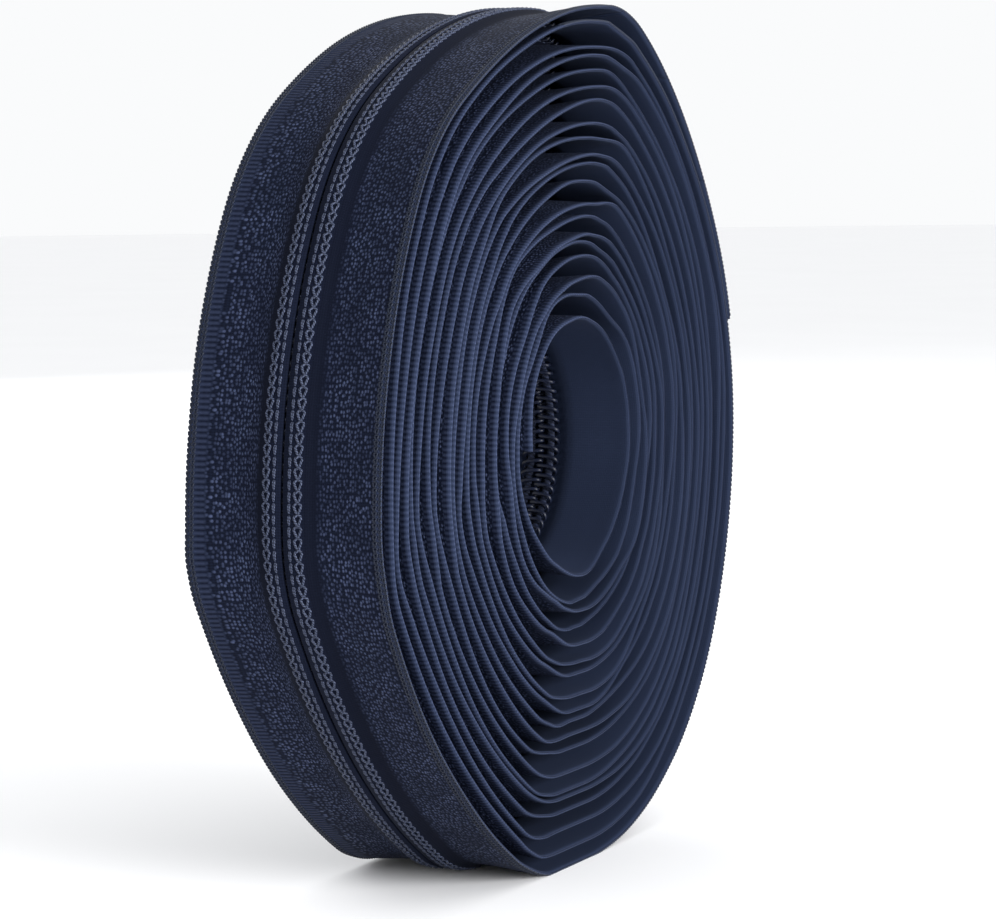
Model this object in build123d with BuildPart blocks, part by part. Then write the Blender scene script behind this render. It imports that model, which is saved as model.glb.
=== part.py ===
from build123d import *

import os
from dataclasses import dataclass
from math import cos, pi, radians, sin, tan

# A roll of continuous nylon coil zipper chain, sold by the metre.
#
# Frame: +Z up, the roll's axis along Y, the roll standing on its rim. The origin is under the
# middle of the roll, on the surface that it stands on. Left is -Y, right is +Y.
# The chain is wound with its coils towards the axis and its flat, stitched side outwards.
# A band of the chain is told by its height above the base line, which is the coils' inner face.

# Driving dimensions, millimetres and degrees
CHAIN_HALF_WIDTH = 15.0  # both tapes together measure 30 mm from selvage to selvage
TAPE_SLIT = 0.8  # gap between the two tapes over the middle of the chain
TAPE_THICKNESS = 0.45
COIL_HALF_WIDTH = 3.1  # closed chain of 6.2 mm, the size that is called number 5
COIL_HEIGHT = 1.45
COIL_WALL = 0.4  # monofilament round the core cord
COIL_MESH_GAP = 0.2  # between the two coils, where their heads interlock
CORD_CLEARANCE = 0.05
SEAM_CLEARANCE = 0.03  # between the tape and what is sewn to it
STITCH_THICKNESS = 0.12
INNER_STITCH = (1.0, 1.7)  # a seam's nearest and furthest distance from the middle of the chain
OUTER_STITCH = (2.0, 3.1)

BORE_RADIUS = 18.2  # to the coils of the innermost turn
LAYER_PITCH = 2.36
TURNS = 19  # whole turns; the wound part then ends after one more third of a turn
SECTOR = 30.0  # each turn is twelve tangent arcs of this sweep
FIRST_NORMAL = 180.0  # the innermost turn starts facing -X, and the winding runs clockwise
ROUND_SECTORS = 10  # truly round stretch of the innermost turn, before it climbs one layer
BASE_SECTOR = 9  # the straight stretch that the roll stands on comes before this sector
BASE_FLAT = 14.0

# Radii of the outermost turn's sectors, a hand-wound roll's rounded corners and flatter sides.
# The two that are None are worked out so that the outline closes.
OUTLINE_RADII = [85, 46, 102, 26.5, 85, 56.5, 72, 56, None, 24.4, 109, None]

# The free end of the chain: three lengths that leave the outermost turn one after the other
FREE_SWEEP = 15.0  # sweep of each length
JOINT_GAP = 0.3
PART_ANGLE = 10.0  # how far each half of the last length swings out when the chain is parted
PART_PIVOT = 2.4  # distance of that swing's centre from the middle of the chain

# Heights of each band above the base line
CORD_BAND = (COIL_WALL + CORD_CLEARANCE, COIL_HEIGHT - SEAM_CLEARANCE)
TAPE_BAND = (COIL_HEIGHT + SEAM_CLEARANCE, COIL_HEIGHT + SEAM_CLEARANCE + TAPE_THICKNESS)
STITCH_BAND = (TAPE_BAND[1] + SEAM_CLEARANCE, TAPE_BAND[1] + SEAM_CLEARANCE + STITCH_THICKNESS)

SECTORS_A_TURN = round(360 / SECTOR)
WOUND_SECTORS = TURNS * SECTORS_A_TURN + SECTORS_A_TURN // 3


def normal(angle):
    """Outward direction in the roll's section, as (x, z), at an angle from +X towards +Z."""
    return cos(radians(angle)), sin(radians(angle))


@dataclass
class Bend:
    """An arc of the base line about a centre, from one outward angle clockwise to the next."""

    centre: tuple
    radius: float
    first: float
    last: float

    def point(self, angle, height=0.0):
        along = normal(angle)
        reach = self.radius + height
        return self.centre[0] + reach * along[0], self.centre[1] + reach * along[1]

    def ends(self, height):
        return self.point(self.first, height), self.point(self.last, height)

    def edge(self, height):
        reach = self.radius + height
        return CenterArc(self.centre, reach, self.last, self.first - self.last, mode=Mode.PRIVATE)


@dataclass
class Flat:
    """A straight stretch of the base line that faces straight down."""

    start: tuple
    end: tuple

    def ends(self, height):
        return (self.start[0], self.start[1] - height), (self.end[0], self.end[1] - height)

    def edge(self, height):
        return Line(*self.ends(height), mode=Mode.PRIVATE)


def closed_outline():
    """The outline's twelve radii, with the two open ones solved so that the turn closes."""
    chords = []
    for sector in range(SECTORS_A_TURN):
        first = normal(FIRST_NORMAL - sector * SECTOR)
        last = normal(FIRST_NORMAL - (sector + 1) * SECTOR)
        chords.append((last[0] - first[0], last[1] - first[1]))
    known = [(r, c) for r, c in zip(OUTLINE_RADII, chords) if r is not None]
    (ax, az), (bx, bz) = [c for r, c in zip(OUTLINE_RADII, chords) if r is None]
    open_x = BASE_FLAT - sum(r * c[0] for r, c in known)
    open_z = -sum(r * c[1] for r, c in known)
    whole = ax * bz - az * bx
    solved = [(open_x * bz - open_z * bx) / whole, (ax * open_z - az * open_x) / whole]
    return [solved.pop(0) if r is None else r for r in OUTLINE_RADII]


def base_radius(sector):
    """Mean radius of the winding at a sector, which grows by one layer a turn."""
    if sector < SECTORS_A_TURN:
        return BORE_RADIUS
    return BORE_RADIUS + LAYER_PITCH * (sector + 0.5) / SECTORS_A_TURN


def wind(sectors):
    """The base line of the winding about the bore's centre, as bends and base flats."""
    outline = closed_outline()
    mean = sum(outline) / SECTORS_A_TURN + BASE_FLAT / (2 * pi)
    growth = base_radius(WOUND_SECTORS) - BORE_RADIUS
    climb = LAYER_PITCH / (2 * (1 - cos(radians(SECTOR))))
    across, height = normal(FIRST_NORMAL)
    at = (BORE_RADIUS * across, BORE_RADIUS * height)
    line = []
    for sector in range(sectors):
        share = (base_radius(sector) - BORE_RADIUS) / growth
        place = sector % SECTORS_A_TURN
        radius = base_radius(sector) + share * (outline[place] - mean)
        if sector == ROUND_SECTORS:
            radius = BORE_RADIUS + climb
        elif sector == ROUND_SECTORS + 1:
            radius = BORE_RADIUS + LAYER_PITCH - climb
        if place == BASE_SECTOR and share > 0:
            end = (at[0] - share * BASE_FLAT, at[1])
            line.append(Flat(at, end))
            at = end
        first = FIRST_NORMAL - sector * SECTOR
        along = normal(first)
        bend = Bend((at[0] - radius * along[0], at[1] - radius * along[1]), radius, first, first - SECTOR)
        line.append(bend)
        at = bend.point(bend.last)
    return line


def moved(line, x, z):
    """The same base line, shifted."""
    for part in line:
        if isinstance(part, Bend):
            part.centre = (part.centre[0] + x, part.centre[1] + z)
        else:
            part.start = (part.start[0] + x, part.start[1] + z)
            part.end = (part.end[0] + x, part.end[1] + z)
    return line


def free_lengths(bends):
    """Three lengths of the free end, cut from the bends that follow the wound part."""
    lengths = []
    for i in range(3):
        first = bends[0].first - i * FREE_SWEEP
        bend = next(b for b in bends if b.first >= first > b.last)
        gap = JOINT_GAP / bend.radius * 180 / pi
        lengths.append([Bend(bend.centre, bend.radius, first - gap, first - FREE_SWEEP)])
    return lengths


# The lowest and outermost points of the outer surface place the roll in its frame.
winding = wind(WOUND_SECTORS + 2)
outer = STITCH_BAND[1]
lowest = min(p[1] for part in winding for p in part.ends(outer))
left_most = min(p[0] for part in winding for p in part.ends(outer))
right_most = max(p[0] for part in winding[:-2] for p in part.ends(outer))
BORE_X = -(left_most + right_most) / 2
BORE_Z = -lowest
winding = moved(winding, BORE_X, BORE_Z)
wound = winding[:-2]
first_free, second_free, last_free = free_lengths(winding[-2:])


def band_edges(line, low, high):
    """The edges of a closed band along a stretch of the base line, between two heights above it."""
    edges = [part.edge(height) for height in (low, high) for part in line]
    edges.append(Line(line[0].ends(low)[0], line[0].ends(high)[0], mode=Mode.PRIVATE))
    edges.append(Line(line[-1].ends(low)[1], line[-1].ends(high)[1], mode=Mode.PRIVATE))
    return edges


def across(side, near, far):
    """The Y of a band's +Y face and the band's width, for a side that is -1 left or 1 right."""
    return max(side * near, side * far), far - near


def make_tape(side, line, name):
    """One woven tape, from the slit in the middle to its selvage."""
    top, width = across(side, TAPE_SLIT / 2, CHAIN_HALF_WIDTH)
    with BuildPart() as tape:
        with BuildSketch(Plane.XZ.offset(-top)):
            with BuildLine():
                add(band_edges(line, *TAPE_BAND))
            make_face()
        extrude(amount=width, clean=False)
    tape.part.label = name
    export_step(tape.part, f"parts/{name}.step")
    return tape.part


def make_parting_tape(side, line, name):
    """The last length of a tape, notched at its root so that it can swing out in its own plane."""
    top, width = across(side, TAPE_SLIT / 2, CHAIN_HALF_WIDTH)
    root = line[0]
    outward = normal(root.first)
    x, z = root.point(root.first, TAPE_BAND[0])
    notch_plane = Plane(
        origin=(x, side * PART_PIVOT, z),
        x_dir=(outward[1], 0, -outward[0]),
        z_dir=(outward[0], 0, outward[1]),
    )
    edge = CHAIN_HALF_WIDTH - PART_PIVOT + 1
    # The plane's own Y runs along the frame's Y, so the notch opens towards the selvage.
    with BuildPart() as tape:
        with BuildSketch(Plane.XZ.offset(-top)):
            with BuildLine():
                add(band_edges(line, *TAPE_BAND))
            make_face()
        extrude(amount=width, clean=False)
        with BuildSketch(notch_plane):
            with BuildLine():
                Polyline((-1, 0), (0, 0), (edge * tan(radians(PART_ANGLE)), side * edge),
                         (-1, side * edge), close=True)
            make_face()
        extrude(amount=2, both=True, mode=Mode.SUBTRACT)
    tape.part.label = name
    export_step(tape.part, f"parts/{name}.step")
    return tape.part


def make_coil(side, line, name):
    """One nylon coil as the channel that its loops make round the core cord, open to the tape."""
    near, far = COIL_MESH_GAP / 2, COIL_HALF_WIDTH
    wall = (0, COIL_HEIGHT, near, near + 2 * COIL_WALL)
    floor = (0, COIL_WALL, near + 2 * COIL_WALL, far - 2 * COIL_WALL)
    other_wall = (0, COIL_HEIGHT, far - 2 * COIL_WALL, far)
    with BuildPart() as coil:
        for low, high, inner, outer in (wall, floor, other_wall):
            top, width = across(side, inner, outer)
            with BuildSketch(Plane.XZ.offset(-top)):
                with BuildLine():
                    add(band_edges(line, low, high))
                make_face()
            extrude(amount=width, clean=False)
    coil.part.label = name
    export_step(coil.part, f"parts/{name}.step")
    return coil.part


def make_core_cord(side, line, name):
    """The cord that the coil's loops run round, which the seams catch."""
    room = COIL_MESH_GAP / 2 + 2 * COIL_WALL, COIL_HALF_WIDTH - 2 * COIL_WALL
    top, width = across(side, room[0] + CORD_CLEARANCE, room[1] - CORD_CLEARANCE)
    with BuildPart() as cord:
        with BuildSketch(Plane.XZ.offset(-top)):
            with BuildLine():
                add(band_edges(line, *CORD_BAND))
            make_face()
        extrude(amount=width, clean=False)
    cord.part.label = name
    export_step(cord.part, f"parts/{name}.step")
    return cord.part


def make_stitch_row(side, line, name, reach):
    """One row of chain stitches on the tape's outer face, as the band that it covers."""
    top, width = across(side, *reach)
    with BuildPart() as row:
        with BuildSketch(Plane.XZ.offset(-top)):
            with BuildLine():
                add(band_edges(line, *STITCH_BAND))
            make_face()
        extrude(amount=width, clean=False)
    row.part.label = name
    export_step(row.part, f"parts/{name}.step")
    return row.part


def make_chain(line, suffix, tape_maker):
    """Both halves of one stretch of the chain: tape, coil, core cord and two seams a side."""
    pieces = []
    for side, hand in ((-1, "left"), (1, "right")):
        pieces.append(tape_maker(side, line, f"{hand}_tape{suffix}"))
        pieces.append(make_coil(side, line, f"{hand}_coil{suffix}"))
        pieces.append(make_core_cord(side, line, f"{hand}_core_cord{suffix}"))
        pieces.append(make_stitch_row(side, line, f"{hand}_inner_stitch{suffix}", INNER_STITCH))
        pieces.append(make_stitch_row(side, line, f"{hand}_outer_stitch{suffix}", OUTER_STITCH))
    return pieces


def run_length(line, height):
    """Length of a stretch of the winding, measured at a height above the base line."""
    bends = sum((b.radius + height) * radians(b.first - b.last) for b in line if isinstance(b, Bend))
    flats = sum(f.start[0] - f.end[0] for f in line if isinstance(f, Flat))
    return bends + flats


os.makedirs("parts", exist_ok=True)
chain = make_chain(wound, "", make_tape)
chain += make_chain(first_free, "_free_1", make_tape)
chain += make_chain(second_free, "_free_2", make_tape)
chain += make_chain(last_free, "_end", make_parting_tape)

tape_middle = sum(TAPE_BAND) / 2
free = first_free + second_free + last_free
wound_length = run_length(wound, tape_middle)
free_length = run_length(free, tape_middle)
print("tape length, wound and free", round(wound_length, 1), round(free_length, 1))
print("bore centre, x and z", round(BORE_X, 3), round(BORE_Z, 3))
hinge_height = STITCH_BAND[1] + 0.05
for label, length, height in (
    ("peel hinge", first_free[0], hinge_height),
    ("uncurl hinge", second_free[0], hinge_height),
    ("fork", last_free[0], tape_middle),
):
    half_gap = JOINT_GAP / 2 / length.radius * 180 / pi
    x, z = length.point(length.first + half_gap, height)
    print(label, "x and z", round(x, 3), round(z, 3), "normal angle", round(length.first + half_gap, 3))
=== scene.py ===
"""A hand-wound roll of navy nylon coil zipper chain, in a plain studio.

The roll stands on its rim. Its axis runs along Y, +Z is up, and the chain is wound with its
coils towards the axis and its flat, stitched side outwards. Everything here is a surface on two
parameters: the distance along the winding, and a place across or around the strand.
"""

import logging
from dataclasses import dataclass, replace
from enum import Enum

import bpy
import numpy as np
from mathutils import Matrix, Vector


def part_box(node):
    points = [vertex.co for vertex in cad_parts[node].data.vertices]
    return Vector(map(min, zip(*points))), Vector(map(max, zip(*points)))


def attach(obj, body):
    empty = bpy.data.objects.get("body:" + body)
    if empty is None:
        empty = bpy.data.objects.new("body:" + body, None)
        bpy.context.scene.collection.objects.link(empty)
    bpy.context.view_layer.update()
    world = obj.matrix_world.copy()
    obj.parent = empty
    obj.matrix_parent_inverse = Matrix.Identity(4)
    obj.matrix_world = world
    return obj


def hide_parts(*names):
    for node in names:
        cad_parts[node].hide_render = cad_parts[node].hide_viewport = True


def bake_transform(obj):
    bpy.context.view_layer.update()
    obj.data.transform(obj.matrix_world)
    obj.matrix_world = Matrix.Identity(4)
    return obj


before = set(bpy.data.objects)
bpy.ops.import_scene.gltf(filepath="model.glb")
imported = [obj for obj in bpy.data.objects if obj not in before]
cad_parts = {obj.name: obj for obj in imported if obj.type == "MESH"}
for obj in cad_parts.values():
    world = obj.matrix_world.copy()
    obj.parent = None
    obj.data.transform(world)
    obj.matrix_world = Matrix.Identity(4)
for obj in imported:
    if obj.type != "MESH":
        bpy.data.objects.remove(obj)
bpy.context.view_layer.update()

LOG = logging.getLogger("zipper_roll")
MM = 0.001
UV_NAME = "strand_mm"  # each piece's UV map holds millimetres: across or around, then along


# ---------------------------------------------------------------- small helpers


def linear(code: str) -> tuple[float, float, float, float]:
    """Turn an sRGB hex colour into the linear colour that Blender's sockets take.

    Args:
        code: six hex digits with a leading hash.

    Returns:
        Red, green, blue and an alpha of 1, by the sRGB curve.
    """
    parts = np.array([int(code[i : i + 2], 16) for i in (1, 3, 5)]) / 255
    curved = np.where(parts <= 0.04045, parts / 12.92, ((parts + 0.055) / 1.055) ** 2.4)
    return (*curved.tolist(), 1.0)


def add_node(
    tree: bpy.types.NodeTree, kind: str, inputs: dict | None = None, **settings: object
) -> bpy.types.Node:
    """Add a node with its settings, and fill its inputs.

    Args:
        tree: the node tree that it goes into.
        kind: the node's type, such as ShaderNodeMath.
        inputs: for each input, by name or number, a value or the socket to link from.
        **settings: the node's own properties.

    Returns:
        The new node.
    """
    node = tree.nodes.new(kind)
    for name, value in settings.items():
        setattr(node, name, value)
    for key, value in (inputs or {}).items():
        if isinstance(value, bpy.types.NodeSocket):
            tree.links.new(value, node.inputs[key])
        else:
            node.inputs[key].default_value = value
    return node


def smoothstep(x: np.ndarray, low: float, high: float) -> np.ndarray:
    """Return 0 below low, 1 above high, and 3t^2 - 2t^3 between them."""
    t = np.clip((x - low) / (high - low), 0, 1)
    return t * t * (3 - 2 * t)


def drifting_noise(
    x: np.ndarray, knots: int, span: float, seed: int, spread: float = 1.0
) -> np.ndarray:
    """Return seeded noise from -1 to 1 that drifts smoothly from one random knot to the next.

    Args:
        x: where it is wanted.
        knots: how many random values there are over the span.
        span: the range of x that the knots cover, from 0.
        seed: the random generator's seed.
        spread: below 1, the power that pushes the random values out towards -1 and 1.

    Returns:
        One value for each x: (1 - f) a + f b, where f is the smoothstep between the knots a and b.
    """
    values = np.random.default_rng(seed).uniform(-1, 1, knots + 2)
    values = np.sign(values) * np.abs(values) ** spread
    place = np.clip(x / span, 0, 1) * knots
    below = np.floor(place).astype(int)
    part = smoothstep(place - below, 0, 1)
    return (1 - part) * values[below] + part * values[below + 1]


def grid_piece(
    name: str, rings: np.ndarray, around: np.ndarray, along: np.ndarray
) -> bpy.types.Object:
    """Make a closed strand from a grid of points, rings along it and a closed loop in each ring.

    Args:
        name: the piece's name.
        rings: points as (rings, points in a ring, 3), in metres. Each ring runs anticlockwise
            as seen from the strand's far end, looking back along it.
        around: the first UV value at each point of a ring and once more for the first point.
        along: the second UV value at each ring.

    Returns:
        The new object, smooth shaded, and closed at both ends with flat caps.
    """
    count, size = rings.shape[:2]
    first = np.arange(count - 1)[:, None] * size
    here = np.arange(size)[None, :]
    after = (here + 1) % size
    corners = [first + here, first + after, first + size + after, first + size + here]
    quads = np.stack(np.broadcast_arrays(*corners), axis=-1).reshape(-1, 4)
    caps = np.concatenate([np.arange(size)[::-1], (count - 1) * size + np.arange(size)])
    starts = np.concatenate([np.arange(len(quads)) * 4, len(quads) * 4 + np.array([0, size])])

    mesh = bpy.data.meshes.new(name)
    mesh.vertices.add(count * size)
    mesh.vertices.foreach_set("co", rings.astype(np.float32).ravel())
    mesh.loops.add(quads.size + caps.size)
    mesh.loops.foreach_set("vertex_index", np.concatenate([quads.ravel(), caps]).astype(np.int32))
    mesh.polygons.add(len(starts))
    mesh.polygons.foreach_set("loop_start", starts.astype(np.int32))
    mesh.update(calc_edges=True)
    mesh.polygons.foreach_set("use_smooth", np.arange(len(starts)) < len(quads))

    u_low = np.broadcast_to(around[:-1], (count - 1, size))
    u_high = np.broadcast_to(around[1:], (count - 1, size))
    v_low = np.broadcast_to(along[:-1, None], (count - 1, size))
    v_high = np.broadcast_to(along[1:, None], (count - 1, size))
    u = np.stack([u_low, u_high, u_high, u_low], axis=-1).reshape(-1)
    v = np.stack([v_low, v_low, v_high, v_high], axis=-1).reshape(-1)
    cap_u = np.concatenate([around[:-1][::-1], around[:-1]])
    cap_v = np.repeat([along[0], along[-1]], size)
    pairs = np.stack([np.concatenate([u, cap_u]), np.concatenate([v, cap_v])], axis=-1)
    layer = mesh.uv_layers.new(name=UV_NAME)
    layer.data.foreach_set("uv", pairs.astype(np.float32).ravel())
    mesh.validate()

    piece = bpy.data.objects.new(name, mesh)
    bpy.context.scene.collection.objects.link(piece)
    return piece


def swept_rings(
    points: np.ndarray, up: np.ndarray, half_width: float, half_height: float, sides: int
) -> np.ndarray:
    """Carry an ellipse along a line of points.

    Each ring is p + w cos(a) side - h sin(a) lift, where side is the line's direction crossed
    with up, and lift is side crossed with the direction, so the faces point outwards.

    Args:
        points: the line, as (n, 3).
        up: a direction near lift at each point, as (n, 3).
        half_width: w, in metres.
        half_height: h, in metres.
        sides: points in each ring.

    Returns:
        Rings as (n, sides, 3).
    """
    ahead = np.gradient(points, axis=0)
    ahead /= np.linalg.norm(ahead, axis=1, keepdims=True)
    side = np.cross(ahead, up)
    side /= np.linalg.norm(side, axis=1, keepdims=True)
    lift = np.cross(side, ahead)
    angle = np.arange(sides) / sides * 2 * np.pi
    wide = half_width * np.cos(angle)[None, :, None] * side[:, None, :]
    high = half_height * np.sin(angle)[None, :, None] * lift[:, None, :]
    return points[:, None, :] + wide - high


# ---------------------------------------------------------------- finishes


@dataclass(frozen=True)
class WovenTape:
    """Polyester tape, woven on a needle loom and dyed navy in the piece.

    The yarn is matt, so light spreads over it softly. The long floats between the seam and the
    selvage read as dots and short dashes: their humps carry a painted glint, a lighter colour. The
    relief's low places and the shoulder beside the seams are painted darker as shade, and the outer
    face's own colour is painted darker than the inner face's as shade. The tape is plain and
    smooth under the seams and over the shoulder beside them.
    """

    # Painted shade for the relief's low places and for the shoulder beside the seams.
    valley: str = "#080c19"
    # The outer face's colour, painted darker than the inner face as shade.
    body: str = "#111728"
    plain_face: str = "#232b3f"
    # Painted glint on the floats' humps, lighter than the tape's own colour.
    painted_float_glint: str = "#424b67"
    float_across_mm: float = 0.52  # spacing of the warp ends that float
    float_along_mm: float = 0.66  # a float passes over nearly two picks
    pick_mm: float = 0.385
    bump_mm: float = 0.09

    def material(self) -> bpy.types.Material:
        """Build the material from the tape's own millimetre UV map."""
        finish = bpy.data.materials.new("woven_polyester_tape_dyed_navy")
        finish.use_nodes = True
        tree = finish.node_tree
        tree.nodes.clear()
        uv = add_node(tree, "ShaderNodeUVMap", uv_map=UV_NAME)
        split = add_node(tree, "ShaderNodeSeparateXYZ", {0: uv.outputs["UV"]})
        across, along = split.outputs["X"], split.outputs["Y"]

        def step(
            low: float, high: float, source: bpy.types.NodeSocket = across
        ) -> bpy.types.NodeSocket:
            """Return a smooth rise from 0 at low to 1 at high."""
            node = add_node(
                tree,
                "ShaderNodeMapRange",
                {"Value": source, "From Min": low, "From Max": high},
                interpolation_type="SMOOTHSTEP",
            )
            return node.outputs["Result"]

        def math(kind: str, a: object, b: object = 0.0, c: object = 0.0) -> bpy.types.NodeSocket:
            """Return the socket of one sum, product or other operation."""
            return add_node(tree, "ShaderNodeMath", {0: a, 1: b, 2: c}, operation=kind).outputs[0]

        # The outer face runs from 0.4 to 15 mm across; the inner face has negative places.
        woven = math("MULTIPLY", step(4.4, 6.2), step(13.9, 13.5))
        selvage = math("MULTIPLY", step(13.6, 13.9), step(15.6, 15.2))

        # Floats: irregular cells, one for each place where a warp end comes to the face.
        scaled = add_node(
            tree,
            "ShaderNodeMapping",
            {
                "Vector": uv.outputs["UV"],
                "Scale": (1 / self.float_across_mm, 1 / self.float_along_mm, 1),
            },
        )
        cells = add_node(
            tree,
            "ShaderNodeTexVoronoi",
            {"Vector": scaled.outputs[0], "Scale": 1.0, "Randomness": 0.72},
            voronoi_dimensions="2D",
        )
        hump = step(0.46, 0.12, cells.outputs["Distance"])
        chance = add_node(tree, "ShaderNodeSeparateColor", {0: cells.outputs["Color"]}).outputs[0]
        lively = step(0.15, 0.95, chance)
        patches = add_node(
            tree,
            "ShaderNodeTexNoise",
            {"Vector": uv.outputs["UV"], "Scale": 0.16, "Detail": 3.0, "Roughness": 0.6},
            noise_dimensions="2D",
        )
        patchy = step(0.35, 0.65, patches.outputs[0])

        # Picks: one rib a weft thread all over, and selvage loops at every second pick.
        pick = math("SINE", math("MULTIPLY", along, 2 * np.pi / self.pick_mm))
        turn = math("SINE", math("MULTIPLY", along, np.pi / self.pick_mm))
        warp = math("SINE", math("MULTIPLY", across, 2 * np.pi / 0.31))
        ribs = math("MULTIPLY_ADD", pick, 0.5, 0.5)
        loops = math("MULTIPLY_ADD", turn, 0.5, 0.5)

        liveliness = math("MULTIPLY_ADD", lively, 0.6, 0.4)
        woven_hump = math("MULTIPLY", math("MULTIPLY", hump, woven), liveliness)
        selvage_hump = math("MULTIPLY", loops, selvage)
        height = math(
            "ADD",
            math("MULTIPLY_ADD", ribs, 0.16, math("MULTIPLY", warp, 0.06)),
            math("ADD", woven_hump, math("MULTIPLY", selvage_hump, 0.8)),
        )
        # Painted glint: the floats' humps, and more faintly the selvage's loops, get the lighter
        # float colour.
        painted_glint = math("MULTIPLY", woven_hump, math("MULTIPLY_ADD", patchy, 0.5, 0.5))
        painted_glint = math("MAXIMUM", painted_glint, math("MULTIPLY", selvage_hump, 0.3))

        # Painted shade: the shoulder beside the seams, where the tape drops from the coil, is
        # pushed towards the dark valley colour.
        shoulder = math("MULTIPLY", step(2.9, 3.4), step(5.6, 4.6))
        relief = math("MULTIPLY_ADD", patches.outputs[0], 0.12, height)
        unshaded = math("MULTIPLY_ADD", shoulder, -0.7, 1.0)
        # Painted shade: the relief's low places take the dark valley colour.
        shade = add_node(
            tree,
            "ShaderNodeMix",
            {
                0: math("MULTIPLY", step(-0.1, 0.35, relief), unshaded),
                6: linear(self.valley),
                7: linear(self.body),
            },
            data_type="RGBA",
        )
        # The inner face and the selvage's edge take the lighter plain colour; the outer face's
        # darker colour is painted shade.
        plain = math("MAXIMUM", step(-0.2, -0.6), step(14.2, 14.7))
        faced = add_node(
            tree,
            "ShaderNodeMix",
            {0: math("MULTIPLY", plain, 0.85), 6: shade.outputs[2], 7: linear(self.plain_face)},
            data_type="RGBA",
        )
        colour = add_node(
            tree,
            "ShaderNodeMix",
            {0: painted_glint, 6: faced.outputs[2], 7: linear(self.painted_float_glint)},
            data_type="RGBA",
        )
        bump = add_node(
            tree,
            "ShaderNodeBump",
            {"Height": height, "Strength": 0.8, "Distance": self.bump_mm * MM},
        )
        rough = add_node(
            tree, "ShaderNodeMapRange", {"Value": painted_glint, "To Min": 0.72, "To Max": 0.45}
        )
        shader = add_node(
            tree,
            "ShaderNodeBsdfPrincipled",
            {
                "Base Color": colour.outputs[2],
                "Roughness": rough.outputs[0],
                "Normal": bump.outputs[0],
                "IOR": 1.45,
                "Specular IOR Level": 0.06,
                "Sheen Weight": 0.015,
                "Sheen Roughness": 0.45,
                "Sheen Tint": linear("#8690a8"),
            },
        )
        add_node(tree, "ShaderNodeOutputMaterial", {"Surface": shader.outputs[0]})
        return finish


@dataclass(frozen=True)
class TwistedYarn:
    """Polyester yarn of two plies, twisted: sewing thread, selvage yarn or core cord.

    The plies show as slanting stripes, with a painted highlight on each ply's ridge and painted
    shade in the groove between; the highlight stands in for the shine of the thread's parallel
    fibres and makes the thread a little lighter than the tape.
    """

    label: str
    # low is the painted shade between the plies, high the painted highlight on their ridges.
    low: str
    high: str
    twist_mm: float
    roughness: float = 0.5

    def material(self) -> bpy.types.Material:
        """Build the material from the strand's UV map, whose first value is turns around it."""
        finish = bpy.data.materials.new(self.label)
        finish.use_nodes = True
        tree = finish.node_tree
        tree.nodes.clear()
        uv = add_node(tree, "ShaderNodeUVMap", uv_map=UV_NAME)
        split = add_node(tree, "ShaderNodeSeparateXYZ", {0: uv.outputs["UV"]})
        slant = add_node(
            tree,
            "ShaderNodeMath",
            {0: split.outputs["Y"], 1: 1 / self.twist_mm, 2: split.outputs["X"]},
            operation="MULTIPLY_ADD",
        )
        angle = add_node(
            tree, "ShaderNodeMath", {0: slant.outputs[0], 1: 4 * np.pi}, operation="MULTIPLY"
        )
        ply = add_node(tree, "ShaderNodeMath", {0: angle.outputs[0]}, operation="SINE")
        ridge = add_node(
            tree, "ShaderNodeMapRange", {"Value": ply.outputs[0], "From Min": -1.0, "From Max": 0.6}
        )
        fibres = add_node(
            tree,
            "ShaderNodeTexNoise",
            {"Vector": uv.outputs["UV"], "Scale": 5.0, "Detail": 2.0},
            noise_dimensions="2D",
        )
        # Painted highlight on the ply ridges, broken up by fibre noise.
        painted_ply_highlight = add_node(
            tree,
            "ShaderNodeMath",
            {0: ridge.outputs[0], 1: fibres.outputs[0]},
            operation="MULTIPLY",
        )
        reach = add_node(tree, "ShaderNodeMapRange", {"Value": painted_ply_highlight.outputs[0], "From Max": 0.6})
        colour = add_node(
            tree,
            "ShaderNodeMix",
            {0: reach.outputs[0], 6: linear(self.low), 7: linear(self.high)},
            data_type="RGBA",
        )
        bump = add_node(
            tree,
            "ShaderNodeBump",
            {"Height": ridge.outputs[0], "Strength": 0.6, "Distance": 0.04 * MM},
        )
        shader = add_node(
            tree,
            "ShaderNodeBsdfPrincipled",
            {
                "Base Color": colour.outputs[2],
                "Roughness": self.roughness,
                "Normal": bump.outputs[0],
                "IOR": 1.5,
                "Specular IOR Level": 0.18,
                "Sheen Weight": 0.02,
                "Sheen Roughness": 0.4,
            },
        )
        add_node(tree, "ShaderNodeOutputMaterial", {"Surface": shader.outputs[0]})
        return finish


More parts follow.
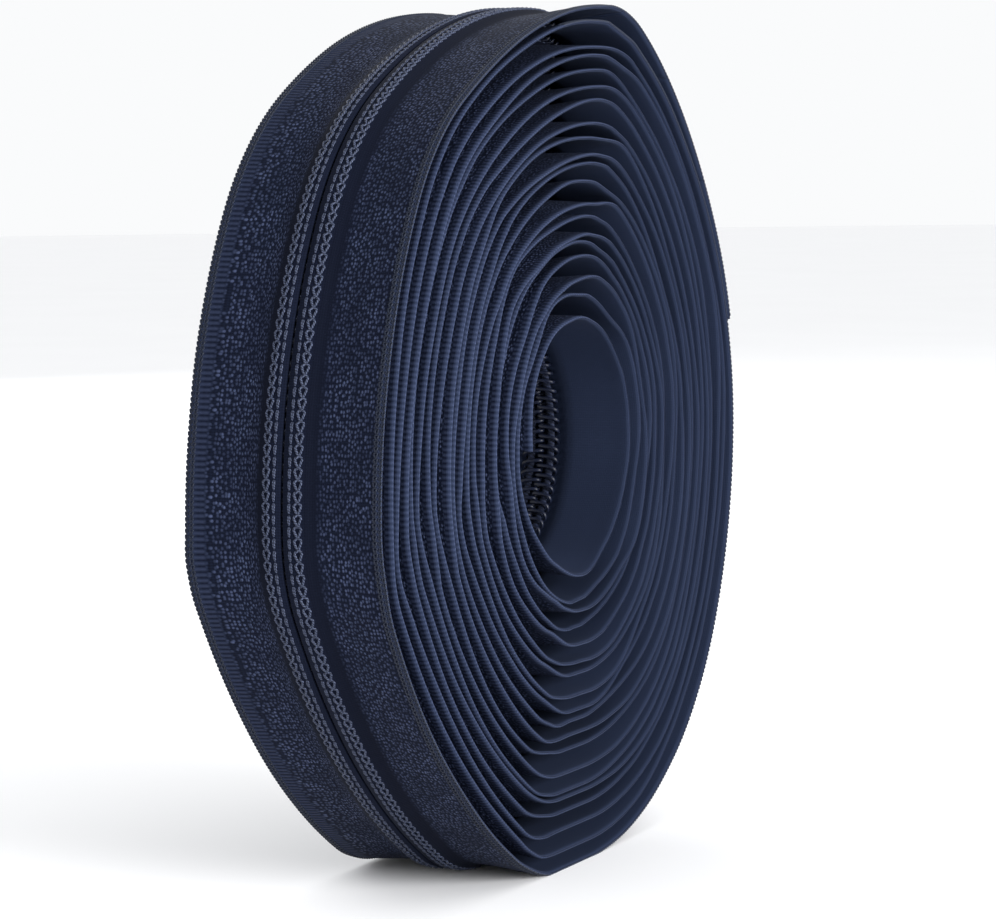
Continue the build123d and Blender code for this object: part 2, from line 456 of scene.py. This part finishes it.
@dataclass(frozen=True)
class NylonMonofilament:
    """Nylon monofilament, extruded, dyed and formed into a coil over a mandrel.

    The plastic is smooth and a little glossy, with fine die lines along the wire and a dye that
    took up slightly unevenly.
    """

    low: str = "#0a0e1b"
    high: str = "#151b2e"
    die_line_mm: float = 0.08

    def material(self) -> bpy.types.Material:
        """Build the material from the wire's UV map."""
        finish = bpy.data.materials.new("extruded_nylon_monofilament_dyed")
        finish.use_nodes = True
        tree = finish.node_tree
        tree.nodes.clear()
        uv = add_node(tree, "ShaderNodeUVMap", uv_map=UV_NAME)
        stretched = add_node(
            tree,
            "ShaderNodeMapping",
            {"Vector": uv.outputs["UV"], "Scale": (1 / self.die_line_mm, 0.5, 1)},
        )
        lines = add_node(
            tree,
            "ShaderNodeTexNoise",
            {"Vector": stretched.outputs[0], "Scale": 1.0, "Detail": 2.0},
            noise_dimensions="2D",
        )
        dye = add_node(
            tree,
            "ShaderNodeTexNoise",
            {"Vector": uv.outputs["UV"], "Scale": 0.4, "Detail": 2.0},
            noise_dimensions="2D",
        )
        colour = add_node(
            tree,
            "ShaderNodeMix",
            {0: dye.outputs[0], 6: linear(self.low), 7: linear(self.high)},
            data_type="RGBA",
        )
        rough = add_node(
            tree, "ShaderNodeMapRange", {"Value": lines.outputs[0], "To Min": 0.36, "To Max": 0.5}
        )
        bump = add_node(
            tree,
            "ShaderNodeBump",
            {"Height": lines.outputs[0], "Strength": 0.25, "Distance": 0.01 * MM},
        )
        shader = add_node(
            tree,
            "ShaderNodeBsdfPrincipled",
            {
                "Base Color": colour.outputs[2],
                "Roughness": rough.outputs[0],
                "Normal": bump.outputs[0],
                "IOR": 1.53,
                "Specular IOR Level": 0.25,
            },
        )
        add_node(tree, "ShaderNodeOutputMaterial", {"Surface": shader.outputs[0]})
        return finish


@dataclass(frozen=True)
class PaintedFloor:
    """Matt white studio paint, with the faint mottling that a roller leaves."""

    low: str = "#f7f7f8"
    high: str = "#fbfbfc"

    def material(self) -> bpy.types.Material:
        """Build the material from Object coordinates."""
        finish = bpy.data.materials.new("matt_white_studio_paint")
        finish.use_nodes = True
        tree = finish.node_tree
        tree.nodes.clear()
        place = add_node(tree, "ShaderNodeTexCoord")
        mottle = add_node(
            tree,
            "ShaderNodeTexNoise",
            {"Vector": place.outputs["Object"], "Scale": 9.0, "Detail": 3.0},
        )
        colour = add_node(
            tree,
            "ShaderNodeMix",
            {0: mottle.outputs[0], 6: linear(self.low), 7: linear(self.high)},
            data_type="RGBA",
        )
        shader = add_node(
            tree,
            "ShaderNodeBsdfPrincipled",
            {"Base Color": colour.outputs[2], "Roughness": 0.85, "IOR": 1.45},
        )
        add_node(tree, "ShaderNodeOutputMaterial", {"Surface": shader.outputs[0]})
        return finish


# ---------------------------------------------------------------- the winding


@dataclass
class Winding:
    """The line that the coils' inner face follows, from the innermost turn to the free end.

    It is made of tangent arcs, twelve a turn, with a straight stretch in each turn where the
    roll stands. The mean radius grows by one layer a turn, and the turns change little by little
    from a true circle at the bore to the rim's uneven outline.
    """

    bore_radius: float = 18.2 * MM
    layer_pitch: float = 2.36 * MM
    wound_sectors: int = 232
    free_sectors: int = 2
    base_sector: int = 9
    base_flat: float = 14 * MM
    free_sweep: float = np.radians(15)
    sector: float = np.radians(30)
    tape_outer: float = 1.93 * MM  # height of the tape's outer face, which the CAD box touches
    # The rim's arcs; the two that are open are worked out so that the outline closes.
    rim_radii_mm: tuple = (85, 46, 102, 26.5, 85, 56.5, 72, 56, np.nan, 24.4, 109, np.nan)

    def __post_init__(self) -> None:
        """Work out every arc and flat as arrays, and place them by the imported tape's box."""
        sectors = np.arange(self.wound_sectors + self.free_sectors)
        place = sectors % 12
        first = np.pi - sectors * self.sector
        out_first = np.stack([np.cos(first), np.sin(first)], axis=-1)
        out_last = np.stack([np.cos(first - self.sector), np.sin(first - self.sector)], axis=-1)
        chords = out_last - out_first

        rim = np.array(self.rim_radii_mm) * MM
        open_arcs = np.isnan(rim)
        rest = np.array([self.base_flat, 0.0]) - rim[~open_arcs] @ chords[:12][~open_arcs]
        rim[open_arcs] = np.linalg.solve(chords[:12][open_arcs].T, rest)
        mean = rim.mean() + self.base_flat / (2 * np.pi)

        grown = np.where(sectors < 12, 0.0, self.layer_pitch * (sectors + 0.5) / 12)
        share = grown / (self.layer_pitch * (self.wound_sectors + 0.5) / 12)
        radius = self.bore_radius + grown + share * (rim[place] - mean)
        climb = self.layer_pitch / (2 * (1 - np.cos(self.sector)))
        radius[10] = self.bore_radius + climb
        radius[11] = self.bore_radius + self.layer_pitch - climb
        flat = np.where(place == self.base_sector, share * self.base_flat, 0.0)

        moves = radius[:, None] * chords - flat[:, None] * np.array([1.0, 0.0])
        start = np.concatenate([np.zeros((1, 2)), np.cumsum(moves, axis=0)[:-1]])
        start += self.bore_radius * out_first[0]
        bend_start = start - flat[:, None] * np.array([1.0, 0.0])

        # Flats and arcs take turns in the arrays; most of the flats have no length.
        self._bend = np.tile([False, True], len(sectors))
        self._radius = np.repeat(radius, 2)
        self._first = np.repeat(first, 2)
        self._centre = np.repeat(bend_start - radius[:, None] * out_first, 2, axis=0)
        self._start = np.repeat(start, 2, axis=0)
        lengths = np.stack([flat, radius * self.sector], axis=-1).ravel()
        self._s = np.concatenate([[0.0], np.cumsum(lengths)[:-1]])

        self.wound_end = float(self._s[2 * self.wound_sectors + 1])
        one, two = radius[-2] * self.free_sweep, radius[-1] * self.free_sweep
        self.uncurl_at = self.wound_end + one
        self.fork_at = self.wound_end + 2 * one
        self.end = self.fork_at + two
        self.last_turn_start = float(self._s[2 * (self.wound_sectors - 12) + 1])

        self._shift = np.zeros(2)
        lowest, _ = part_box("left_tape")
        corners = self._s[: 2 * self.wound_sectors + 2]
        x, z = self.point(corners, self.tape_outer).T
        self._shift = np.array([lowest.x - x.min(), lowest.z - z.min()])

    def _locate(self, s: np.ndarray) -> tuple[np.ndarray, np.ndarray, np.ndarray]:
        """Return each place's segment, distance into it, and outward angle.

        The angle is the arc's first angle less distance over radius, and straight down on a flat.
        """
        i = np.clip(np.searchsorted(self._s, s, side="right") - 1, 0, len(self._s) - 1)
        into = s - self._s[i]
        angle = np.where(self._bend[i], self._first[i] - into / self._radius[i], self._first[i])
        return i, into, angle

    def wound_angle(self, s: np.ndarray) -> np.ndarray:
        """Return how far the chain has turned by s, in radians."""
        return np.pi - self._locate(s)[2]

    def outward(self, s: np.ndarray) -> np.ndarray:
        """Return the outward direction at s, as (n, 2) in x and z."""
        angle = self._locate(s)[2]
        return np.stack([np.cos(angle), np.sin(angle)], axis=-1)

    def point(self, s: np.ndarray, height: np.ndarray | float) -> np.ndarray:
        """Return the point at s and a height above the line, as (n, 2) in x and z.

        On an arc that is centre + (radius + height) outward, and on a flat it is the flat's
        start, moved along -X by the distance and outward by the height.
        """
        i, into, _ = self._locate(s)
        out = self.outward(s)
        reach = np.asarray(height)[..., None] * out
        arc = self._centre[i] + self._radius[i][..., None] * out
        run = self._start[i] - into[..., None] * np.array([1.0, 0.0])
        return np.where(self._bend[i][..., None], arc, run) + reach + self._shift

    def place(self, s: np.ndarray, y: np.ndarray, height: np.ndarray) -> np.ndarray:
        """Return points in the frame, as (..., 3), and keep them on or above the floor."""
        x, z = np.moveaxis(self.point(s, height), -1, 0)
        return np.stack(np.broadcast_arrays(x, y, np.maximum(z, 0.0)), axis=-1)

    def up(self, s: np.ndarray) -> np.ndarray:
        """Return the outward direction at s, as (n, 3)."""
        x, z = np.moveaxis(self.outward(s), -1, 0)
        return np.stack([x, np.zeros_like(x), z], axis=-1)


@dataclass
class HandWoundSlack:
    """How far the soft chain strays from a perfect winding.

    The tape drops beside the coils, because nothing holds it there, and recovers towards its
    selvage. Each turn's flange leans in or out by its own amount, and each turn lies a little to
    the left or right of the last. At the free end the tape settles onto the turn below.
    """

    winding: Winding
    drop: float = 0.95 * MM
    recovery: float = 0.40 * MM
    last_turn_recovery: float = 0.35 * MM  # the last turn has none over it
    lean: float = 0.98 * MM
    ripple: float = 0.10 * MM
    sway: float = 0.42 * MM
    settle: float = 1.05 * MM

    def sideways(self, s: np.ndarray) -> np.ndarray:
        """Return how far the whole chain lies to the right at s, none of it near the free end."""
        turns = self.winding.wound_angle(s) / (2 * np.pi)
        last = self.winding.last_turn_start
        calm = smoothstep(s, last - 100 * MM, last + 100 * MM)
        return self.sway * drifting_noise(turns, 26, 20, 11) * (1 - calm)

    def lift(self, s: np.ndarray, across: np.ndarray, side: "Side") -> np.ndarray:
        """Return how far the tape lies above its flat place.

        It is -drop, a quarter of it over the coil and the rest over the shoulder beside it, plus
        recovery and lean that grow towards the selvage at 15 mm.

        Args:
            s: distance along the winding.
            across: distance from the middle of the chain.
            side: which tape it is, because each leans in its own way.

        Returns:
            Heights in metres, in the shape that s and across broadcast to.
        """
        turns = self.winding.wound_angle(s) / (2 * np.pi)
        seed = 29 if side is Side.LEFT else 47
        leaning = drifting_noise(turns, 270, 20, seed, spread=0.6)
        last = self.winding.last_turn_start
        free = smoothstep(s, last - 50 * MM, last + 50 * MM)
        settled = smoothstep(s, self.winding.wound_end, self.winding.end - 4 * MM)
        rippling = drifting_noise(turns, 900, 20, seed + 1)
        low, high = 4.5 * MM, 16.5 * MM
        flare = smoothstep(across, low, high) / smoothstep(np.array(15 * MM), low, high)
        over_coil = 0.25 * smoothstep(across, 1.6 * MM, 3.2 * MM)
        over_shoulder = 0.75 * smoothstep(across, 3.0 * MM, 4.8 * MM)
        recovery = self.recovery + self.last_turn_recovery * free
        stray = self.lean * leaning * (1 - 0.6 * free) + self.ripple * rippling
        return (
            -self.drop * (over_coil + over_shoulder)
            + recovery * smoothstep(across, 5.4 * MM, 14 * MM)
            + stray * flare * (1 - settled)
            - self.settle * settled * smoothstep(across, 3.15 * MM, 9 * MM)
        )


# ---------------------------------------------------------------- the chain's parts


class Side(Enum):
    """The two halves of the chain, by the sign of their Y."""

    LEFT = -1
    RIGHT = 1

    @property
    def hand(self) -> str:
        """Name the side as the CAD nodes do."""
        return self.name.lower()


class Stretch(Enum):
    """The stretches that the chain is made in, with the suffix of the CAD nodes they replace."""

    ROLL = ""
    PEEL = "_free_1"
    UNCURL = "_free_2"
    FORK = "_end"


@dataclass
class Chain:
    """What every part of the chain shares: the winding, its slack, and where it is divided."""

    winding: Winding
    slack: HandWoundSlack
    hinge_reach: float = 4.5 * MM  # bind works out a point this far each side of a hinge but does not use it
    lead_in: float = 9 * MM  # how much of the wound length is made with the peeling stretch

    def spans(self) -> dict[Stretch, tuple[float, float]]:
        """Return where each stretch starts and ends; a division lies midway between two hinges."""
        line = self.winding
        middle = [(line.wound_end + line.uncurl_at) / 2, (line.uncurl_at + line.fork_at) / 2]
        first = line.wound_end - self.lead_in
        return {
            Stretch.ROLL: (0.0, first),
            Stretch.PEEL: (first, middle[0]),
            Stretch.UNCURL: (middle[0], middle[1]),
            Stretch.FORK: (middle[1], line.end),
        }

    def bind(self, piece: bpy.types.Object, stretch: Stretch, side: Side) -> None:
        """Make a piece ride on the roll, or bake the transform of a piece of another stretch; the
        hinge's points are worked out but not used.
        """
        line = self.winding
        if stretch is Stretch.ROLL:
            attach(piece, "roll")
            return
        hinge, before, after = {
            Stretch.PEEL: (line.wound_end, "roll", "free_length_1"),
            Stretch.UNCURL: (line.uncurl_at, "free_length_1", "free_length_2"),
            Stretch.FORK: (line.fork_at, "free_length_2", f"{side.hand}_end"),
        }[stretch]
        places = np.array([hinge - self.hinge_reach, hinge + self.hinge_reach])
        start, end = line.place(places, np.zeros(2), np.full(2, 1.7 * MM))
        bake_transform(piece)

    def finish_piece(
        self,
        piece: bpy.types.Object,
        stretch: Stretch,
        side: Side,
        material: bpy.types.Material,
        slot: str,
        node: str,
    ) -> None:
        """Dress a piece, attach it to the roll or bake its transform, and stand it in for its CAD
        node.
        """
        piece.data.materials.append(material)
        self.bind(piece, stretch, side)
        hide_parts(f"{side.hand}_{node}{stretch.value}")
        LOG.info("%s: %d faces", piece.name, len(piece.data.polygons))


@dataclass
class TapeMaker:
    """The two woven tapes, from the slit in the middle to the selvage."""

    chain: Chain
    material: bpy.types.Material
    slit: float = 0.10 * MM
    selvage: float = 15.0 * MM
    inner_face: float = 1.48 * MM
    outer_face: float = 1.93 * MM
    step: float = 1.5 * MM
    columns_mm: tuple = (0.22, 1.6, 2.5, 3.2, 3.8, 4.6, 5.8, 8.2, 11.0, 13.3, 14.3, 14.86)

    def make(self, side: Side) -> list[bpy.types.Object]:
        """Make one tape in all its stretches.

        A ring goes out over the outer face, round the selvage and back along the inner face:
        the height is the face's height plus the slack's lift, and the thickness swells slightly
        where the selvage's loops are.
        """
        columns = np.array(self.columns_mm) * MM
        across = np.concatenate([columns, [self.selvage], columns[::-1], [self.slit]])
        middle = (self.inner_face + self.outer_face) / 2
        half = (self.outer_face - self.inner_face) / 2
        swell = half + 0.05 * MM * smoothstep(columns, 13.6 * MM, 14.3 * MM)
        swell -= 0.07 * MM * smoothstep(columns, 14.4 * MM, 14.9 * MM)
        rise = np.concatenate([swell, [0.0], -swell[::-1], [0.0]])
        u = np.concatenate([columns, [self.selvage], -columns[::-1], [-self.slit], columns[:1]])
        u /= MM
        made = []
        for stretch, (start, end) in self.chain.spans().items():
            s = np.linspace(start, end, int(np.ceil((end - start) / self.step)) + 1)
            grid, wide = np.meshgrid(s, across, indexing="ij")
            height = middle + rise[None, :] + self.chain.slack.lift(grid, wide, side)
            y = side.value * wide + self.chain.slack.sideways(grid)
            rings = self.chain.winding.place(grid, y, height)
            label = u
            if side is Side.RIGHT:
                rings, label = rings[:, ::-1], u[::-1]
            piece = grid_piece(f"{side.hand}_tape_{stretch.name.lower()}", rings, label, s / MM)
            self.chain.finish_piece(piece, stretch, side, self.material, "tape", "tape")
            turned = np.diff(self.chain.winding.wound_angle(np.array([start, end])))[0]
            made.append(piece)
        return made


@dataclass
class CoilMaker:
    """The two nylon coils with their core cords, meshed along the middle of the chain."""

    chain: Chain
    wire_material: bpy.types.Material
    cord_material: bpy.types.Material
    pitch: float = 1.54 * MM
    head: float = -0.30 * MM  # the wire's middle at the head, just past the middle of the chain
    heel: float = 2.83 * MM
    low: float = 0.05 * MM
    pressed_low: float = -0.07 * MM  # in the roll, where it is pressed against the turn below
    high: float = 1.24 * MM
    wire_half_width: float = 0.30 * MM
    wire_half_height: float = 0.20 * MM
    first_turn: float = 124 * MM  # the stretch whose coils the hole shows

    def wire(
        self, start: float, end: float, low: float, side: Side, samples: int, sides: int
    ) -> tuple:
        """Return a coil's rings and UV values between two distances along the winding.

        With t in turns of the coil, the wire's place across is mid + reach c(t), its height is
        mid + rise s(t), and its distance is pitch (t + 0.9 sin(2 pi t) / 2 pi), where c and s are
        the cosine and sine raised to 0.6. The wire so steps forward mostly at its heel, and its
        two legs lie nearly one above the other.
        """
        offset = 0.5 if side is Side.RIGHT else 0.0
        end = min(end, self.chain.winding.end - 1.5 * self.pitch)
        loops = int(np.ceil(end / self.pitch) - np.ceil(start / self.pitch))
        t = np.arange(loops * samples + 1) / samples
        angle = 2 * np.pi * t
        c, d = np.cos(angle), np.sin(angle)
        c, d = np.sign(c) * np.abs(c) ** 0.6, np.sign(d) * np.abs(d) ** 0.6
        first = np.ceil(start / self.pitch) + offset
        s = self.pitch * (first + t + 0.9 * np.sin(angle) / (2 * np.pi))
        across = (self.heel + self.head) / 2 + (self.heel - self.head) / 2 * c
        height = (low + self.high) / 2 + (self.high - low) / 2 * d
        y = side.value * across + self.chain.slack.sideways(s)
        points = self.chain.winding.place(s, y, height)
        # The wire is flattened, so its broad side faces up or down on the legs.
        spin = np.stack([np.zeros_like(c), side.value * c, np.zeros_like(c)], axis=-1)
        lift = self.chain.winding.up(s) * d[:, None] + spin
        rings = swept_rings(points, lift, self.wire_half_width, self.wire_half_height, sides)
        length = np.concatenate([[0], np.cumsum(np.linalg.norm(np.diff(points, axis=0), axis=1))])
        return rings, np.linspace(0, 1.6, sides + 1), length / MM

    def make(self, side: Side) -> list[bpy.types.Object]:
        """Make one coil and its core cord in all their stretches."""
        made = []
        for stretch, (start, end) in self.chain.spans().items():
            name = f"{side.hand}_coil_{stretch.name.lower()}"
            parts = [(name, start, end, 14, 7)]
            if stretch is Stretch.ROLL:
                parts = [
                    (f"{name}_first_turn", start, self.first_turn, 14, 7),
                    (name, self.first_turn, end, 8, 3),
                ]
            bottom = self.pressed_low if stretch is Stretch.ROLL else self.low
            for label, first, last, samples, sides in parts:
                piece = grid_piece(label, *self.wire(first, last, bottom, side, samples, sides))
                self.chain.finish_piece(piece, stretch, side, self.wire_material, "coil", "coil")
                made.append(piece)

            s = np.linspace(start, end, int(np.ceil((end - start) / (2.5 * MM))) + 1)
            y = side.value * 1.6 * MM + self.chain.slack.sideways(s)
            points = self.chain.winding.place(s, y, np.full_like(s, 0.72 * MM))
            rings = swept_rings(points, self.chain.winding.up(s), 0.58 * MM, 0.27 * MM, 8)
            cord = grid_piece(
                f"{side.hand}_core_cord_{stretch.name.lower()}", rings, np.linspace(0, 1, 9), s / MM
            )
            self.chain.finish_piece(cord, stretch, side, self.cord_material, "cord", "core_cord")
            made.append(cord)
        return made


@dataclass(frozen=True)
class LoopRow:
    """A row of loops along the chain: a seam's chain stitches, or the selvage's turns.

    Each loop opens from its row's middle to its reach and dives back under at the next one.
    """

    label: str
    middle: float
    reach: float
    pitch: float
    thread: float
    height: float
    arch: float

    def strand(
        self, s_start: float, s_end: float, samples: int
    ) -> tuple[np.ndarray, np.ndarray, np.ndarray]:
        """Return one strand as distances, its opening from 0 to 1, and its height.

        With f as the share of the way through a loop, the opening rises as f^0.8 until 0.82 and
        falls straight back after it, and the height is an arch, sin(pi f).
        """
        count = int(np.ceil(s_end / self.pitch) - np.ceil(s_start / self.pitch))
        t = np.arange(count * samples + 1) / samples
        f = t % 1.0
        opening = np.where(f < 0.82, (f / 0.82) ** 0.8, (1 - f) / 0.18)
        s = self.pitch * (np.ceil(s_start / self.pitch) + t)
        return s, opening, self.height + self.arch * np.sin(np.pi * f)


@dataclass
class LoopRowMaker:
    """The seams that hold the coils to the tapes, and the selvages' knitted loops."""

    chain: Chain
    thread_material: bpy.types.Material
    yarn_material: bpy.types.Material
    shown_early: float = 30 * MM  # the last turn's rows start this far inside it
    rows: tuple = (
        LoopRow("inner_stitch", 1.18 * MM, 0.14 * MM, 1.54 * MM, 0.14 * MM, 1.76 * MM, 0.24 * MM),
        LoopRow("outer_stitch", 2.42 * MM, 0.55 * MM, 1.54 * MM, 0.19 * MM, 1.88 * MM, 0.13 * MM),
    )
    selvages: tuple = (
        LoopRow("selvage", 14.02 * MM, 0.30 * MM, 0.77 * MM, 0.13 * MM, 1.90 * MM, 0.12 * MM),
        LoopRow("selvage_edge", 14.78 * MM, 0.22 * MM, 0.77 * MM, 0.13 * MM, 1.82 * MM, 0.12 * MM),
    )

    def rings(
        self,
        row: LoopRow,
        side: Side,
        start: float,
        end: float,
        mirror: float,
        samples: int,
        sides: int,
    ) -> tuple:
        """Return one strand's rings and UV values; mirror is 1 or -1 for the loop's two legs."""
        end = min(end, self.chain.winding.end - row.pitch)
        s, opening, height = row.strand(start, end, samples)
        across = row.middle + mirror * row.reach * opening
        height = height + self.chain.slack.lift(s, across, side)
        y = side.value * across + self.chain.slack.sideways(s)
        points = self.chain.winding.place(s, y, height)
        up = self.chain.winding.up(s)
        rings = swept_rings(points, up, row.thread, row.thread, sides)
        return rings, np.linspace(0, 1, sides + 1), s / MM

    def make(self, side: Side) -> list[bpy.types.Object]:
        """Make one side's seams and selvage in all their stretches.

        The rows are fully drawn where they show, on the last turn and the free end. Under other
        turns each row but the selvage's edge is one coarse strand.
        """
        made = []
        shown_from = self.chain.winding.last_turn_start - self.shown_early
        for row in (*self.rows, *self.selvages):
            selvage = row in self.selvages
            material, slot = (
                (self.yarn_material, "tape") if selvage else (self.thread_material, "thread")
            )
            node = "tape" if selvage else row.label
            for stretch, (start, end) in self.chain.spans().items():
                name = f"{side.hand}_{row.label}_{stretch.name.lower()}"
                low = shown_from if stretch is Stretch.ROLL else start
                for mirror, leg in ((1.0, "a"), (-1.0, "b")):
                    data = self.rings(row, side, low, end, mirror, 6 if selvage else 7, 5)
                    piece = grid_piece(f"{name}_{leg}", *data)
                    self.chain.finish_piece(piece, stretch, side, material, slot, node)
                    made.append(piece)
                if stretch is Stretch.ROLL and row.label != "selvage_edge":
                    samples = 3 if selvage else 2
                    # A selvage is half sunk in its tape, and a seam fills the gap to the next turn.
                    share, sunk = (0.7, 0.10 * MM) if selvage else (1.15, 0.0)
                    coarse = replace(row, thread=share * row.thread, height=row.height - sunk)
                    data = self.rings(coarse, side, start, shown_from, 1.0, samples, 3)
                    piece = grid_piece(f"{name}_under", *data)
                    self.chain.finish_piece(piece, stretch, side, material, slot, node)
                    made.append(piece)
        return made


# ---------------------------------------------------------------- the studio


@dataclass
class Studio:
    """A pale floor, soft light and the camera."""

    aim: tuple = (0.97 * MM, 0.0, 63.5 * MM)  # middle of the roll's outline
    azimuth: float = np.radians(-65.0)
    elevation: float = np.radians(4.3)
    roll: float = np.radians(-0.7)
    distance: float = 534 * MM
    lens: float = 127.4
    shift: tuple = (0.0100, -0.0206)
    floor_radius: float = 6.0
    world: str = "#fafbfc"

    def floor(self) -> None:
        """Lay a round floor, radius times the cosine and sine of the angle, just under the roll."""
        radius = self.floor_radius * np.linspace(0, 1, 9)[1:, None] ** 2
        angle = np.linspace(0, 2 * np.pi, 65)[None, :-1]
        flat = np.stack(
            np.broadcast_arrays(radius * np.cos(angle), radius * np.sin(angle), -0.05 * MM), axis=-1
        ).reshape(-1, 3)
        points = np.concatenate([flat, [[0, 0, -0.05 * MM]]])
        ring = np.arange(64)
        after = (ring + 1) % 64
        centre = np.stack([np.full(64, len(points) - 1), ring, after], axis=-1)
        base = (np.arange(7) * 64)[:, None]
        quads = np.stack(
            [base + ring, base + 64 + ring, base + 64 + after, base + after], axis=-1
        ).reshape(-1, 4)
        mesh = bpy.data.meshes.new("studio_floor")
        mesh.from_pydata(points.tolist(), [], [*centre.tolist(), *quads.tolist()])
        floor = bpy.data.objects.new("studio_floor", mesh)
        bpy.context.scene.collection.objects.link(floor)
        mesh.materials.append(PaintedFloor().material())
        LOG.info("studio_floor: %d faces", len(mesh.polygons))

    def softbox(
        self,
        name: str,
        azimuth: float,
        elevation: float,
        distance: float,
        size: float,
        watts: float,
    ) -> None:
        """Hang an area light that faces the roll, at angles in degrees told as the camera's are."""
        a, e = np.radians(azimuth), np.radians(elevation)
        back = Vector((np.sin(a) * np.cos(e), -np.cos(a) * np.cos(e), np.sin(e)))
        data = bpy.data.lights.new(name, "AREA")
        data.shape, data.size, data.energy = "SQUARE", size, watts
        light = bpy.data.objects.new(name, data)
        bpy.context.scene.collection.objects.link(light)
        light.matrix_world = Matrix.Translation(Vector(self.aim) + back * distance) @ (
            (-back).to_track_quat("-Z", "Y").to_matrix().to_4x4()
        )

    def lights(self) -> None:
        """Light the side face from the front right, and keep the outer turn in softer light."""
        world = bpy.data.worlds.new("studio_world")
        bpy.context.scene.world = world
        world.use_nodes = True
        world.node_tree.nodes["Background"].inputs["Color"].default_value = linear(self.world)
        self.softbox("key_softbox", -12, 6, 0.9, 0.5, 20)
        self.softbox("back_softbox", 150, 10, 1.2, 0.8, 8)
        bpy.context.scene.view_settings.view_transform = "Standard"

    def camera(self) -> None:
        """Place the camera, with its axes rolled slightly about its line of sight."""
        a, e, r = self.azimuth, self.elevation, self.roll
        back = Vector((np.sin(a) * np.cos(e), -np.cos(a) * np.cos(e), np.sin(e)))
        right = Vector((np.cos(a), np.sin(a), 0.0))
        up = back.cross(right)
        x = right * np.cos(r) + up * np.sin(r)
        y = up * np.cos(r) - right * np.sin(r)
        data = bpy.data.cameras.new("studio_camera")
        data.lens, data.sensor_width = self.lens, 36.0
        data.shift_x, data.shift_y = self.shift
        data.clip_start, data.clip_end = 0.01, 50.0
        camera = bpy.data.objects.new("studio_camera", data)
        bpy.context.scene.collection.objects.link(camera)
        at = Vector(self.aim) + back * self.distance
        camera.matrix_world = Matrix(
            (
                (x.x, y.x, back.x, at.x),
                (x.y, y.y, back.y, at.y),
                (x.z, y.z, back.z, at.z),
                (0, 0, 0, 1),
            )
        )
        bpy.context.scene.camera = camera


def main() -> None:
    logging.basicConfig(level=logging.INFO, format="%(name)s %(message)s")
    studio = Studio()
    studio.camera()
    studio.floor()
    studio.lights()

    winding = Winding()
    chain = Chain(winding, HandWoundSlack(winding))
    # In each yarn the first colour is painted shade between the plies and the second a painted
    # highlight on their ridges.
    thread = TwistedYarn("twisted_polyester_sewing_thread", "#141a2a", "#4a5269", 0.7)
    yarn = TwistedYarn("polyester_selvage_yarn", "#121723", "#232a3b", 0.6)
    cord = TwistedYarn("braided_polyester_core_cord", "#0f1422", "#232a40", 1.1, roughness=0.7)
    makers = (
        TapeMaker(chain, WovenTape().material()),
        CoilMaker(chain, NylonMonofilament().material(), cord.material()),
        LoopRowMaker(chain, thread.material(), yarn.material()),
    )
    for maker in makers:
        for side in Side:
            maker.make(side)


if __name__ == "__main__":
    main()
